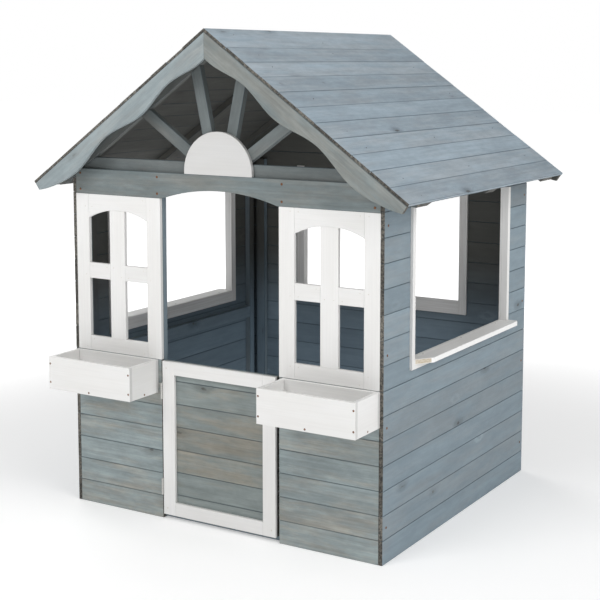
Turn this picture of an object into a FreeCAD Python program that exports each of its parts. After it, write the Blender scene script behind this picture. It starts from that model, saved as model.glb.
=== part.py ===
"""Timber playhouse for a garden or a playroom: one room under a gable roof, with a half door.

Units are millimetres.  The origin is on the ground, under the centre of the whole outline;
+Z is up, the front with the door faces -Y, and +X is the side to the right of a person
who stands outside and looks at the front.  Every board is a separate solid.
"""
import FreeCAD, Part
import math
import os

V = FreeCAD.Vector

# ---- driving dimensions -------------------------------------------------------------------
WALL_WIDTH = 1100.0        # outside, left to right
WALL_DEPTH = 1022.0        # outside, front to back
PLANTER_REACH = 140.0      # planters stand this far out of the front wall
FRONT_OVERHANG = 63.0      # roof past the front wall
BACK_OVERHANG = 58.0       # roof past the back wall

PLANK = 12.0               # thickness of the cladding and of the white boards
COVER = 71.0               # height that one course of cladding covers
JOINT = 0.6                # open joint between two courses
EASE = 1.2                 # chamfer that makes the V joint between courses
FRAME = 20.0               # thickness of the framing behind the cladding

RIDGE_Z = 1492.0           # top of the ridge
ROOF_PLANK = 8.5           # thickness of the roof planks
EAVE_X = 655.0             # roof edge, from the middle of the house
SLOPE = math.atan(0.711)   # roof pitch
RAFTER_DEPTH = 37.0        # gable rafters, square to the slope
BATTEN_WIDTH = 60.0        # roof battens
BATTEN_DEPTH = 20.0

PANEL_TOP = 7 * COVER      # the clad front panels are seven courses high
HEAD_Z = 990.0             # underside of the header board, top of the white front frames
HEADER_TOP = 1068.0
CHORD_BOTTOM = 1030.0
CHORD_TOP = 1104.0
SIDE_TOP = 1038.0          # top of the side walls, under the roof

DOORWAY = 211.0            # half width of the doorway
ARCH_RISE = 32.0
DOOR_LEFT = -206.0
DOOR_RIGHT = 200.5
DOOR_BOTTOM = 15.0
DOOR_TOP = 495.0
DOOR_PROUD = 4.0           # door face in front of the wall face
DOOR_FRAME_T = 10.0        # white frame on the door
DOOR_STILE = 44.0
DOOR_RAIL = 40.0

STILE_OUTER = 50.0         # white front window frames
STILE_INNER = 52.0
MULLION = 58.0
PANE_INNER = 85.0          # width of the pane beside the doorway
RAIL_BOTTOM = 46.0
BAR_BOTTOM = 726.0
BAR_TOP = 775.0
PANE_HEAD = 916.0          # spring of the arch over the upper panes
PANE_CROWN = 943.0

HATCH_HALF = 352.0         # half length of the side openings, over the white jambs
HATCH_BOTTOM = 526.0
HATCH_TOP = 14 * COVER
JAMB = 18.0
JAMB_PROUD = 8.0
CASING_T = 8.0
CASING_W = 27.0
SHELF_BOTTOM = 540.0
SHELF_TOP = 555.0
SHELF_REACH = 43.0         # counter shelf, out of the wall face

BACK_HALF = 313.0          # half width of the back window
BACK_CASING = 30.0
BACK_CASING_TOP = 1016.0
BACK_SILL = 524.0

PLANTER_IN = 224.0
PLANTER_OUT = 540.0
PLANTER_BOTTOM = 394.0
PLANTER_TOP = 496.0

PIN_R = 1.5
KNUCKLE_R = 3.0
HINGE_RUN = 0.06           # radial clearance of the hinge pin in the door's knuckle
HINGE_LEN = 50.0
HINGE_Z = (77.0, 377.0)    # bottom of each hinge
LEAF_T = 1.2
PIN_X = -208.5

# ---- places that follow from them ---------------------------------------------------------
TOTAL_DEPTH = PLANTER_REACH + WALL_DEPTH + BACK_OVERHANG
FRONT = -TOTAL_DEPTH / 2.0 + PLANTER_REACH
BACK = FRONT + WALL_DEPTH
MID_Y = (FRONT + BACK) / 2.0
SIDE = WALL_WIDTH / 2.0
INNER = SIDE - PLANK
ROOF_FRONT = FRONT - FRONT_OVERHANG
ROOF_BACK = BACK + BACK_OVERHANG
SLOPE_LEN = EAVE_X / math.cos(SLOPE)
FRAME_FRONT = (FRONT + PLANK, FRONT + PLANK + FRAME)
FRAME_BACK = (BACK - PLANK - FRAME, BACK - PLANK)
DOOR_FACE = FRONT - DOOR_PROUD
DOOR_BACK = DOOR_FACE + DOOR_FRAME_T + PLANK
PIN_Y = DOOR_FACE - 2.0
MULLION_IN = DOORWAY + STILE_INNER + PANE_INNER

NODES = {}


# ---- helpers ------------------------------------------------------------------------------
def box(x0, x1, y0, y1, z0, z1):
    """A plain board between two corners."""
    low = V(min(x0, x1), min(y0, y1), min(z0, z1))
    return Part.makeBox(abs(x1 - x0), abs(y1 - y0), abs(z1 - z0), low)


def plate(points, run):
    """A flat outline, pushed along run."""
    return Part.Face(Part.makePolygon(points + [points[0]])).extrude(run)


def along_y(outline, y0, y1):
    """An (x, z) outline from y0 to y1."""
    return plate([V(x, y0, z) for x, z in outline], V(0, y1 - y0, 0))


def along_x(outline, x0, x1):
    """A (y, z) outline from x0 to x1."""
    return plate([V(x0, y, z) for y, z in outline], V(x1 - x0, 0, 0))


def along_z(outline, z0, z1):
    """An (x, y) outline from z0 to z1."""
    return plate([V(x, y, z0) for x, y in outline], V(0, 0, z1 - z0))


def mirrored(shape):
    """The same piece on the other side of the house."""
    return shape.mirror(V(0, 0, 0), V(1, 0, 0))


def both_sides(shapes):
    """The pieces and their mirror images."""
    return list(shapes) + [mirrored(s) for s in shapes]


def node(name, shapes):
    """Keeps the solids of one node."""
    NODES[name] = Part.makeCompound([s for shape in shapes for s in shape.Solids])


def course(outer, inner, z0, z1):
    """Section of one cladding plank: its long edges are eased on the outer face."""
    step = EASE if inner > outer else -EASE
    low = z0 + JOINT / 2.0
    high = z1 - JOINT / 2.0
    return [(inner, low), (outer + step, low), (outer, low + EASE),
            (outer, high - EASE), (outer + step, high), (inner, high)]


def on_slope(s, t):
    """(x, z) of a point s down the right roof slope and t below its top face."""
    return (s * math.cos(SLOPE) - t * math.sin(SLOPE),
            RIDGE_Z - s * math.sin(SLOPE) - t * math.cos(SLOPE))


def under_roof(x, t):
    """Height at distance x from the middle, t below the top face of the roof."""
    return RIDGE_Z - x * math.tan(SLOPE) - t / math.cos(SLOPE)


def screw(point, inward, length=24.0, head_r=3.4, proud=0.6):
    """A countersunk screw whose head stands a little out of the face."""
    head = Part.makeCone(head_r * 0.55, head_r, 2.0 + proud, point + inward * 2.0, inward * -1)
    shank = Part.makeCylinder(1.6, length, point + inward * 1.5, inward)
    return head.fuse(shank)


# ---- cladding -----------------------------------------------------------------------------
def side_planks():
    """Right wall: full courses below the opening, short ones beside it, one over it."""
    near = MID_Y - HATCH_HALF
    far = MID_Y + HATCH_HALF
    planks = []
    for k in range(15):
        z0 = k * COVER
        z1 = min(z0 + COVER, SIDE_TOP)
        outline = course(SIDE, INNER, z0, z1)
        if z0 + COVER <= HATCH_BOTTOM or z0 >= HATCH_TOP:
            planks.append(along_y(outline, FRONT, BACK))
        elif z0 > HATCH_BOTTOM:
            planks.append(along_y(outline, FRONT, near))
            planks.append(along_y(outline, far, BACK))
    return planks


def side_sill_plank():
    """The eighth course, notched for the frame of the opening."""
    whole = along_y(course(SIDE, INNER, PANEL_TOP, PANEL_TOP + COVER), FRONT, BACK)
    notch = box(INNER - 1, SIDE + 1, MID_Y - HATCH_HALF, MID_Y + HATCH_HALF,
                HATCH_BOTTOM, PANEL_TOP + COVER + 1)
    return whole.cut(notch)


def back_planks():
    """Back wall up to the eaves, with the window opening."""
    cut = BACK_HALF + JAMB
    planks = []
    for k in range(14):
        outline = course(BACK, BACK - PLANK, k * COVER, (k + 1) * COVER)
        if k < 8:
            planks.append(along_x(outline, -INNER, INNER))
        else:
            planks.append(along_x(outline, -INNER, -cut))
            planks.append(along_x(outline, cut, INNER))
    return planks


def back_gable_planks():
    """Back gable: courses cut to the underside of the roof."""
    apex = under_roof(0, ROOF_PLANK + 0.5)
    low = under_roof(INNER, ROOF_PLANK + 0.5)
    z0 = 14 * COVER
    gable = along_y([(-INNER, z0), (INNER, z0), (INNER, low), (0, apex), (-INNER, low)],
                    BACK - PLANK, BACK)
    planks = []
    while z0 < apex:
        outline = course(BACK, BACK - PLANK, z0, z0 + COVER)
        planks.append(along_x(outline, -INNER, INNER).common(gable))
        z0 += COVER
    return planks


def front_planks():
    """The clad panel to the right of the door."""
    return [along_x(course(FRONT, FRONT + PLANK, k * COVER, (k + 1) * COVER), DOORWAY, INNER)
            for k in range(7)]


# ---- framing ------------------------------------------------------------------------------
def front_posts():
    """Corner and doorway posts behind the front panels."""
    y0, y1 = FRAME_FRONT
    return both_sides([box(INNER - 35, INNER, y0, y1, 0, CHORD_BOTTOM),
                       box(DOORWAY, DOORWAY + 35, y0, y1, 0, CHORD_BOTTOM)])


def front_rails():
    """Rails between the front posts, at the bottom and under the windows."""
    y0, y1 = FRAME_FRONT
    x0 = DOORWAY + 35
    x1 = INNER - 35
    return both_sides([box(x0, x1, y0, y1, 0, 42), box(x0, x1, y0, y1, PANEL_TOP - 42, PANEL_TOP)])


def side_frame():
    """Stiles and rails inside the right wall."""
    x0 = INNER - FRAME
    front = (MID_Y - 465, MID_Y - 437)
    back = (MID_Y + 437, MID_Y + 465)
    frame = [box(x0, INNER, y0, y1, 0, SIDE_TOP - 2) for y0, y1 in (front, back)]
    for z0, z1 in ((0, 42), (440, 482), (SIDE_TOP - 42, SIDE_TOP - 2)):
        frame.append(box(x0, INNER, front[1], back[0], z0, z1))
    return frame


def back_frame():
    """Posts and bottom rail inside the back wall."""
    y0, y1 = FRAME_BACK
    posts = both_sides([box(480, 515, y0, y1, 0, SIDE_TOP - 2)])
    return posts + [box(-480, 480, y0, y1, 0, 42)]


def threshold():
    """Low rail across the doorway, behind the door."""
    y0 = DOOR_BACK + 3
    return box(-DOORWAY, DOORWAY, y0, y0 + FRAME, 0, 35)


def header_board():
    """Front board over the doorway and windows, with a shallow arch cut in its lower edge."""
    half = DOORWAY - 5
    y = FRONT
    arch = Part.Arc(V(-half, y, HEAD_Z), V(0, y, HEAD_Z + ARCH_RISE), V(half, y, HEAD_Z)).toShape()
    points = [V(half, y, HEAD_Z), V(INNER, y, HEAD_Z), V(INNER, y, HEADER_TOP),
              V(-INNER, y, HEADER_TOP), V(-INNER, y, HEAD_Z), V(-half, y, HEAD_Z)]
    wire = Part.Wire([arch] + Part.makePolygon(points).Edges)
    return Part.Face(wire).extrude(V(0, PLANK, 0))


def gable_chord():
    """Bottom chord of the front gable, its ends cut to fit under the rafters."""
    t = ROOF_PLANK + RAFTER_DEPTH + 0.3
    reach = (under_roof(0, t) - CHORD_TOP) / math.tan(SLOPE)
    low = under_roof(INNER, t)
    outline = [(-INNER, CHORD_BOTTOM), (INNER, CHORD_BOTTOM), (INNER, low),
               (reach, CHORD_TOP), (-reach, CHORD_TOP), (-INNER, low)]
    return along_y(outline, *FRAME_FRONT)


def rafter(y0, y1):
    """One gable rafter: plumb cut at the ridge, lower corner sawn off at the eave."""
    t0 = ROOF_PLANK
    t1 = ROOF_PLANK + RAFTER_DEPTH
    tan = math.tan(SLOPE)
    points = [(t0 * tan, t0), (SLOPE_LEN - 4, t0), (SLOPE_LEN - 4, t0 + 15),
              (SLOPE_LEN - 42, t1), (t1 * tan, t1)]
    return along_y([on_slope(s, t) for s, t in points], y0, y1)


def gable_ray(lean, sink):
    """One strut of the sunburst, from behind the half round to the rafter.

    Its middle line starts on the middle of the house, `sink` below the top of the header board.
    """
    half = 18.0
    middle = HEADER_TOP - sink
    ray = box(-half, half, *FRAME_FRONT, HEADER_TOP + 97, RIDGE_Z + sink)
    ray.rotate(V(0, 0, middle), V(0, 1, 0), lean)
    t = ROOF_PLANK + RAFTER_DEPTH + 0.3
    foot = CHORD_TOP + 1
    reach = (under_roof(0, t) - foot) / math.tan(SLOPE)
    roof_space = along_y([(-reach, foot), (reach, foot), (0, under_roof(0, t))], *FRAME_FRONT)
    return ray.common(roof_space)


def half_round():
    """White half disc that stands on the header board."""
    r = 120.0
    z = HEADER_TOP + 8
    arc = Part.Arc(V(-r, FRONT, z), V(0, FRONT, z + r), V(r, FRONT, z)).toShape()
    points = [V(r, FRONT, z), V(r, FRONT, HEADER_TOP), V(-r, FRONT, HEADER_TOP), V(-r, FRONT, z)]
    return Part.Face(Part.Wire([arc] + Part.makePolygon(points).Edges)).extrude(V(0, PLANK, 0))


# ---- roof ---------------------------------------------------------------------------------
def roof_planks():
    """Right slope: a wider plank at the ridge and ten courses below it."""
    first = SLOPE_LEN - 10 * COVER
    planks = []
    for k in range(11):
        s0 = 0 if k == 0 else first + (k - 1) * COVER + JOINT / 2.0
        s1 = first + k * COVER - JOINT / 2.0
        if k == 10:
            s1 = SLOPE_LEN
        upper = [(0, 0)] if k == 0 else [(s0, EASE), (s0 + EASE, 0)]
        lower = [(s1, 0)] if k == 10 else [(s1 - EASE, 0), (s1, EASE)]
        back = [(s1, ROOF_PLANK), (ROOF_PLANK * math.tan(SLOPE) if k == 0 else s0, ROOF_PLANK)]
        outline = [on_slope(s, t) for s, t in upper + lower + back]
        planks.append(along_y(outline, ROOF_FRONT, ROOF_BACK))
    return planks


def roof_battens():
    """Three flat battens hold the planks of the right slope together."""
    t0 = ROOF_PLANK
    t1 = ROOF_PLANK + BATTEN_DEPTH
    tan = math.tan(SLOPE)
    points = [(t0 * tan, t0), (SLOPE_LEN - 1, t0), (SLOPE_LEN - 8, t1), (t1 * tan, t1)]
    outline = [on_slope(s, t) for s, t in points]
    starts = (FRAME_FRONT[1], MID_Y - BATTEN_WIDTH / 2.0, FRAME_BACK[0] - BATTEN_WIDTH)
    return [along_y(outline, y0, y0 + BATTEN_WIDTH) for y0 in starts]


def barge_board(y0, y1):
    """Scalloped board under the roof edge: three lobes and a tapered tail, cut square at the eave."""
    t0 = ROOF_PLANK
    tail = (SLOPE_LEN - 1.5, 25)
    lobes = [(75, 61.5), (200, 44), (335, 62), (487, 38.5), (632, 61), (728, 50), (770, 38), tail]
    apex_t = 60.5
    low = [on_slope((t0 + apex_t) * math.tan(SLOPE), t0 + apex_t)]
    low += [on_slope(s, t0 + depth) for s, depth in lobes]
    curve = Part.BSplineCurve()
    curve.interpolate([V(x, y0, z) for x, z in low])
    top = t0 + 0.3
    ends = [low[-1], on_slope(tail[0], top), on_slope(top * math.tan(SLOPE), top), low[0]]
    rest = Part.makePolygon([V(x, y0, z) for x, z in ends])
    return Part.Face(Part.Wire([curve.toShape()] + rest.Edges)).extrude(V(0, y1 - y0, 0))


# ---- white frames -------------------------------------------------------------------------
def window_stiles():
    """Outer and doorway stiles of the right front window."""
    return [box(DOORWAY, DOORWAY + STILE_INNER, FRONT, FRONT + PLANK, PANEL_TOP, HEAD_Z),
            box(INNER - STILE_OUTER, INNER, FRONT, FRONT + PLANK, PANEL_TOP, HEAD_Z)]


def window_head():
    """Top rail of the right front window, arched over both panes."""
    x0 = DOORWAY + STILE_INNER
    x1 = INNER - STILE_OUTER
    xm = (x0 + x1) / 2.0
    arch = Part.Arc(V(x0, FRONT, PANE_HEAD), V(xm, FRONT, PANE_CROWN), V(x1, FRONT, PANE_HEAD))
    points = [V(x1, FRONT, PANE_HEAD), V(x1, FRONT, HEAD_Z), V(x0, FRONT, HEAD_Z), V(x0, FRONT, PANE_HEAD)]
    wire = Part.Wire([arch.toShape()] + Part.makePolygon(points).Edges)
    return Part.Face(wire).extrude(V(0, PLANK, 0))


def window_bars():
    """Bottom rail, mullion and two cross bars of the right front window."""
    x0 = DOORWAY + STILE_INNER
    x1 = INNER - STILE_OUTER
    m0 = MULLION_IN
    m1 = MULLION_IN + MULLION
    sill = PANEL_TOP + RAIL_BOTTOM
    y0, y1 = FRONT, FRONT + PLANK
    mullion = box(m0, m1, y0, y1, sill, PANE_CROWN + 5).cut(window_head())
    return [box(x0, x1, y0, y1, PANEL_TOP, sill), mullion,
            box(x0, m0, y0, y1, BAR_BOTTOM, BAR_TOP), box(m1, x1, y0, y1, BAR_BOTTOM, BAR_TOP)]


def hatch_jambs():
    """White jambs of the right side opening."""
    x0, x1 = INNER, SIDE + JAMB_PROUD
    near = MID_Y - HATCH_HALF
    far = MID_Y + HATCH_HALF
    return [box(x0, x1, near, near + JAMB, HATCH_BOTTOM, HATCH_TOP),
            box(x0, x1, far - JAMB, far, HATCH_BOTTOM, HATCH_TOP)]


def hatch_sill():
    """White board under the counter shelf, between the jambs."""
    half = HATCH_HALF - JAMB
    return box(INNER, SIDE + JAMB_PROUD, MID_Y - half, MID_Y + half, HATCH_BOTTOM, SHELF_BOTTOM)


def hatch_casing():
    """Flat casing on the inside of the right side opening."""
    half = HATCH_HALF - JAMB
    low = SHELF_TOP - 41
    x0 = INNER - CASING_T
    strips = [box(x0, INNER, MID_Y + a, MID_Y + b, low, HATCH_TOP)
              for a, b in ((-half - CASING_W, -half), (half, half + CASING_W))]
    return strips + [box(x0, INNER, MID_Y - half, MID_Y + half, low, SHELF_TOP)]


def counter_shelf():
    """Shelf of the right side opening, notched round the jambs, its near corner sawn off."""
    half = HATCH_HALF - JAMB
    face = SIDE + JAMB_PROUD
    edge = SIDE + SHELF_REACH
    outline = [(INNER, MID_Y - half), (face, MID_Y - half), (edge - 5, MID_Y - 289), (edge, MID_Y - 281),
               (edge, MID_Y + 342), (edge - 3, MID_Y + 348), (edge - 8, MID_Y + 350),
               (face, MID_Y + 350), (face, MID_Y + half), (INNER, MID_Y + half)]
    return along_z(outline, SHELF_BOTTOM, SHELF_TOP)


def back_window_jambs():
    """White jambs of the back window."""
    return both_sides([box(BACK_HALF, BACK_HALF + JAMB, BACK - PLANK, BACK + JAMB_PROUD,
                           8 * COVER, 14 * COVER)])


def back_window_casing():
    """Flat casing on the inside of the back window: two long strips and a sill."""
    y0, y1 = BACK - PLANK - CASING_T, BACK - PLANK
    strips = both_sides([box(BACK_HALF, BACK_HALF + BACK_CASING, y0, y1, BACK_SILL, BACK_CASING_TOP)])
    return strips + [box(-BACK_HALF, BACK_HALF, y0, y1, BACK_SILL, BACK_SILL + 48)]


# ---- planters -----------------------------------------------------------------------------
def planter_long_boards():
    """Front and back boards of the right planter."""
    y0 = FRONT - PLANTER_REACH
    return [box(PLANTER_IN, PLANTER_OUT, y, y + PLANK, PLANTER_BOTTOM, PLANTER_TOP)
            for y in (y0, FRONT - PLANK)]


def planter_ends():
    """End boards of the right planter, between the long boards."""
    y0 = FRONT - PLANTER_REACH + PLANK
    y1 = FRONT - PLANK
    return [box(x, x + PLANK, y0, y1, PLANTER_BOTTOM, PLANTER_TOP)
            for x in (PLANTER_IN, PLANTER_OUT - PLANK)]


def planter_floor():
    """Floor board of the right planter."""
    return box(PLANTER_IN + PLANK, PLANTER_OUT - PLANK, FRONT - PLANTER_REACH + PLANK, FRONT - PLANK,
               PLANTER_BOTTOM + 2, PLANTER_BOTTOM + 12)


# ---- door ---------------------------------------------------------------------------------
def door_planks():
    """Seven planks behind the frame of the half door."""
    y0 = DOOR_FACE + DOOR_FRAME_T
    cuts = [DOOR_BOTTOM] + [80 + k * COVER for k in range(6)] + [DOOR_TOP]
    return [along_x(course(y0, y0 + PLANK, a, b), DOOR_LEFT, DOOR_RIGHT)
            for a, b in zip(cuts, cuts[1:])]


def door_stiles():
    """White upright boards of the door frame."""
    y0, y1 = DOOR_FACE, DOOR_FACE + DOOR_FRAME_T
    return [box(DOOR_LEFT, DOOR_LEFT + DOOR_STILE, y0, y1, DOOR_BOTTOM, DOOR_TOP),
            box(DOOR_RIGHT - DOOR_STILE, DOOR_RIGHT, y0, y1, DOOR_BOTTOM, DOOR_TOP)]


def door_rails():
    """White cross boards of the door frame."""
    y0, y1 = DOOR_FACE, DOOR_FACE + DOOR_FRAME_T
    x0, x1 = DOOR_LEFT + DOOR_STILE, DOOR_RIGHT - DOOR_STILE
    return [box(x0, x1, y0, y1, DOOR_BOTTOM, DOOR_BOTTOM + DOOR_RAIL + 1),
            box(x0, x1, y0, y1, DOOR_TOP - DOOR_RAIL, DOOR_TOP)]


def hinge_leaf(z0, plate_x, spans, bore):
    """One leaf of a butt hinge: a flat plate, and a knuckle over each span of its height."""
    front = PIN_Y + KNUCKLE_R + 0.3
    leaf = box(plate_x, plate_x + LEAF_T, front, front + 18, z0, z0 + HINGE_LEN)
    for a, b in spans:
        leaf = leaf.fuse(Part.makeCylinder(KNUCKLE_R, b - a, V(PIN_X, PIN_Y, z0 + a)))
        leaf = leaf.fuse(box(plate_x, plate_x + LEAF_T, PIN_Y, front, z0 + a, z0 + b))
    hole = Part.makeCylinder(bore, HINGE_LEN + 2, V(PIN_X, PIN_Y, z0 - 1))
    return leaf.cut(hole)


def post_leaves():
    """Hinge leaves on the doorway post, with the upper and lower knuckles."""
    spans = ((0, 16.5), (33.5, HINGE_LEN))
    return [hinge_leaf(z, -DOORWAY, spans, PIN_R) for z in HINGE_Z]


def door_leaves():
    """Hinge leaves on the door, with the middle knuckle."""
    return [hinge_leaf(z, DOOR_LEFT - LEAF_T, ((17, 33),), PIN_R + HINGE_RUN) for z in HINGE_Z]


def hinge_pins():
    """One pin through the knuckles of each hinge."""
    return [Part.makeCylinder(PIN_R, HINGE_LEN, V(PIN_X, PIN_Y, z)) for z in HINGE_Z]


def door_catch():
    """Black magnetic catch on the threshold rail."""
    y0 = DOOR_BACK + 3
    return box(166, 209, y0, y0 + 15, 35, 51)


def catch_strike():
    """Steel plate on the back of the door, in front of the catch."""
    return box(168, 196, DOOR_BACK, DOOR_BACK + 1.5, 36, 50)


# ---- fasteners ----------------------------------------------------------------------------
def wall_screws():
    """Screws that hold the wall panels and the header to their posts."""
    inward = V(0, 1, 0)
    front = [screw(V(x, FRONT, z), inward) for x in (DOORWAY + 10, INNER - 18)
             for z in (HEAD_Z + 14, HEADER_TOP - 14)]
    side = [screw(V(SIDE, y, z), V(-1, 0, 0)) for y in (FRONT + 22, BACK - 22)
            for z in (105, 390, 595, 955)]
    back = [screw(V(497, BACK, z), V(0, -1, 0)) for z in (105, 390, 595, 955)]
    return both_sides(front + side + back)


def planter_screws():
    """Screws through the long boards of the right planter into its ends and floor."""
    y0 = FRONT - PLANTER_REACH
    places = [(x, z) for x in (PLANTER_IN + 6, PLANTER_OUT - 6)
              for z in (PLANTER_BOTTOM + 22, PLANTER_TOP - 22)]
    places.append(((PLANTER_IN + PLANTER_OUT) / 2, PLANTER_BOTTOM + 7))
    front = [screw(V(x, y0, z), V(0, 1, 0), 20, proud=0) for x, z in places]
    y = FRONT - PLANTER_REACH / 2
    ends = [screw(V(x, y, PLANTER_BOTTOM + 7), V(way, 0, 0), 20, proud=0)
            for x, way in ((PLANTER_IN, 1), (PLANTER_OUT, -1))]
    return front + ends


def door_screws():
    """Screws through the corners of the door frame into the planks."""
    xs = (DOOR_LEFT + 14, DOOR_RIGHT - 14)
    zs = (DOOR_BOTTOM + 21, DOOR_TOP - 21)
    return [screw(V(x, DOOR_FACE, z), V(0, 1, 0), 15, 2.6) for x in xs for z in zs]


# ---- the assembly -------------------------------------------------------------------------
def build():
    """Fills NODES with every piece of the house."""
    node("right_wall_planks", side_planks())
    node("right_sill_plank", [side_sill_plank()])
    node("left_wall_planks", map(mirrored, side_planks()))
    node("left_sill_plank", [mirrored(side_sill_plank())])
    node("back_wall_planks", back_planks())
    node("back_gable_planks", back_gable_planks())
    node("front_right_planks", front_planks())
    node("front_left_planks", map(mirrored, front_planks()))

    node("front_posts", front_posts())
    node("front_rails", front_rails())
    node("right_wall_frame", side_frame())
    node("left_wall_frame", map(mirrored, side_frame()))
    node("back_wall_frame", back_frame())
    node("threshold_rail", [threshold()])
    node("header_board", [header_board()])
    node("gable_chord", [gable_chord()])
    node("front_rafters", both_sides([rafter(*FRAME_FRONT)]))
    node("back_rafters", both_sides([rafter(*FRAME_BACK)]))
    node("gable_rays", both_sides([gable_ray(12, 82), gable_ray(55, 12)]))
    node("half_round_panel", [half_round()])

    node("right_roof_planks", roof_planks())
    node("left_roof_planks", map(mirrored, roof_planks()))
    node("roof_battens", both_sides(roof_battens()))
    node("front_barge_boards", both_sides([barge_board(ROOF_FRONT, ROOF_FRONT + PLANK)]))
    node("back_barge_boards", both_sides([barge_board(ROOF_BACK - PLANK, ROOF_BACK)]))

    for side, place in (("right", lambda s: s), ("left", mirrored)):
        node(side + "_window_stiles", map(place, window_stiles()))
        node(side + "_window_head", [place(window_head())])
        node(side + "_window_bars", map(place, window_bars()))
        node(side + "_hatch_jambs", map(place, hatch_jambs()))
        node(side + "_hatch_sill", [place(hatch_sill())])
        node(side + "_hatch_casing", map(place, hatch_casing()))
        node(side + "_counter_shelf", [place(counter_shelf())])
        node(side + "_planter_long_boards", map(place, planter_long_boards()))
        node(side + "_planter_ends", map(place, planter_ends()))
        node(side + "_planter_floor", [place(planter_floor())])
    node("back_window_jambs", back_window_jambs())
    node("back_window_casing", back_window_casing())

    node("door_planks", door_planks())
    node("door_stiles", door_stiles())
    node("door_rails", door_rails())
    node("door_hinge_leaves", door_leaves())
    node("catch_strike", [catch_strike()])
    node("door_screws", door_screws())
    node("post_hinge_leaves", post_leaves())
    node("hinge_pins", hinge_pins())
    node("door_catch", [door_catch()])
    node("wall_screws", wall_screws())
    node("planter_screws", both_sides(planter_screws()))


build()
os.makedirs("parts", exist_ok=True)
for name, shape in NODES.items():
    shape.exportStep("parts/" + name + ".step")
outline = Part.makeCompound(list(NODES.values())).BoundBox
print(len(NODES), "nodes,", sum(len(s.Solids) for s in NODES.values()), "solids")
print("x", round(outline.XMin, 2), round(outline.XMax, 2), "y", round(outline.YMin, 2),
      round(outline.YMax, 2), "z", round(outline.ZMin, 2), round(outline.ZMax, 2))
for name, shape in NODES.items():
    if not shape.isValid():
        print("not valid:", name)
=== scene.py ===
# %% [markdown]
# # A timber playhouse, dressed board by board
# The real house is cut from planed softwood: cladding with eased edges, square framing behind it,
# white painted frames round the openings, and a gable roof of the same cladding.  Everything on it is
# a board, so the lesson is how to turn plain solids into boards that look sawn, eased, stained and
# screwed together.  The design already fixes every size and place; this file only reads them.

# %% Open the frame
import math
import random

import bmesh
import bpy
from mathutils import Matrix, Vector


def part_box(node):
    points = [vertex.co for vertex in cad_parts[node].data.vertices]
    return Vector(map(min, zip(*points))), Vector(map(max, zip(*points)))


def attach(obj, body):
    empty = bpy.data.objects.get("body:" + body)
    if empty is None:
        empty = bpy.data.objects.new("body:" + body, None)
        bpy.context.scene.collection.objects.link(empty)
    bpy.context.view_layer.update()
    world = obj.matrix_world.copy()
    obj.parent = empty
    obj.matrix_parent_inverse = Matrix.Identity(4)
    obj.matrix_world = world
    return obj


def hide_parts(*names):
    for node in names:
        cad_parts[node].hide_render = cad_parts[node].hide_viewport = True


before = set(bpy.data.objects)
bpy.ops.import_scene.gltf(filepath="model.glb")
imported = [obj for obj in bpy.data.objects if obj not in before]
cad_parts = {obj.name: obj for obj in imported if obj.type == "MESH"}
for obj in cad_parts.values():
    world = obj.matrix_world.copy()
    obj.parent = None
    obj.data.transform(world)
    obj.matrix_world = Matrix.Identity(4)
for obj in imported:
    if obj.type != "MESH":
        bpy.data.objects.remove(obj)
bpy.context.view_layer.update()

scene = bpy.context.scene

# %% [markdown]
# ## Node trees, made in a readable way
# Shader trees and geometry trees have the same parts: nodes, sockets and links.  One small helper
# adds a node, sets its options and fills its sockets, with a value or with another node's output.
# Some nodes carry several sockets of one name and enable only the one in use, so it picks that one.

# %% A helper for nodes
def socket(sockets, name):
    """The socket of that name which is in use."""
    return next(s for s in sockets if s.name == name and s.enabled)


def out(node, name=None):
    """An output of a node: the one named, or the first in use."""
    return socket(node.outputs, name) if name else next(s for s in node.outputs if s.enabled)


def add(tree, kind, inputs=None, **options):
    """A new node with its options and inputs set."""
    node = tree.nodes.new(kind)
    for key, value in options.items():
        setattr(node, key, value)
    for key, value in (inputs or {}).items():
        target = node.inputs[key] if isinstance(key, int) else socket(node.inputs, key)
        if isinstance(value, bpy.types.Node):
            value = out(value)
        if isinstance(value, bpy.types.NodeSocket):
            tree.links.new(value, target)
        else:
            target.default_value = value
    return node


def maths(tree, operation, a, b=0.0, clamp=False):
    """One sum of two numbers."""
    return add(tree, "ShaderNodeMath", {0: a, 1: b}, operation=operation, use_clamp=clamp)


def vectors(tree, operation, a, b=(0.0, 0.0, 0.0)):
    """One sum of two vectors."""
    return add(tree, "ShaderNodeVectorMath", {0: a, 1: b}, operation=operation)


# %% [markdown]
# ## Reading the boards from the design
# A design node holds one or more solids as loose triangles, so the boards have to be told apart
# first.  Merging by distance would glue neighbours that touch, so each board is followed until its
# surface is closed.  A board has a length, a width and a thickness, and its own axes are found by
# trying a few turns in the gable plane and keeping the tightest box: level, along either roof
# slope, or along a ray of the sunburst.  x then runs along the grain, y across the board and z out
# of its good face, which makes every rule of the finish simple to state.

# %% Split a node into its boards
def solids(node):
    """Each solid of a design node as (points, faces).

    Triangles come one solid after another, and a solid is whole once every edge is met from both sides.
    """
    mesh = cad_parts[node].data
    found, points, faces, half_met = [], {}, [], set()
    for triangle in mesh.polygons:
        corners = [tuple(round(c, 6) for c in mesh.vertices[i].co) for i in triangle.vertices]
        face = [points.setdefault(corner, len(points)) for corner in corners]
        faces.append(face)
        for edge in zip(face, face[1:] + face[:1]):
            if edge[::-1] in half_met:
                half_met.remove(edge[::-1])
            else:
                half_met.add(edge)
        if not half_met:
            found.append(([Vector(point) for point in points], faces))
            points, faces = {}, []
    return found


ridge_plank = max(solids("right_roof_planks"), key=lambda s: max(p.z for p in s[0]))
ridge_top = max(ridge_plank[0], key=lambda p: p.z)
ROOF_RISE = 0.711                 # metres up for each metre across
pitch = math.atan(ROOF_RISE)
print("ridge plank corner", [round(c, 4) for c in ridge_top], "pitch", round(math.degrees(pitch), 2))

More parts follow.
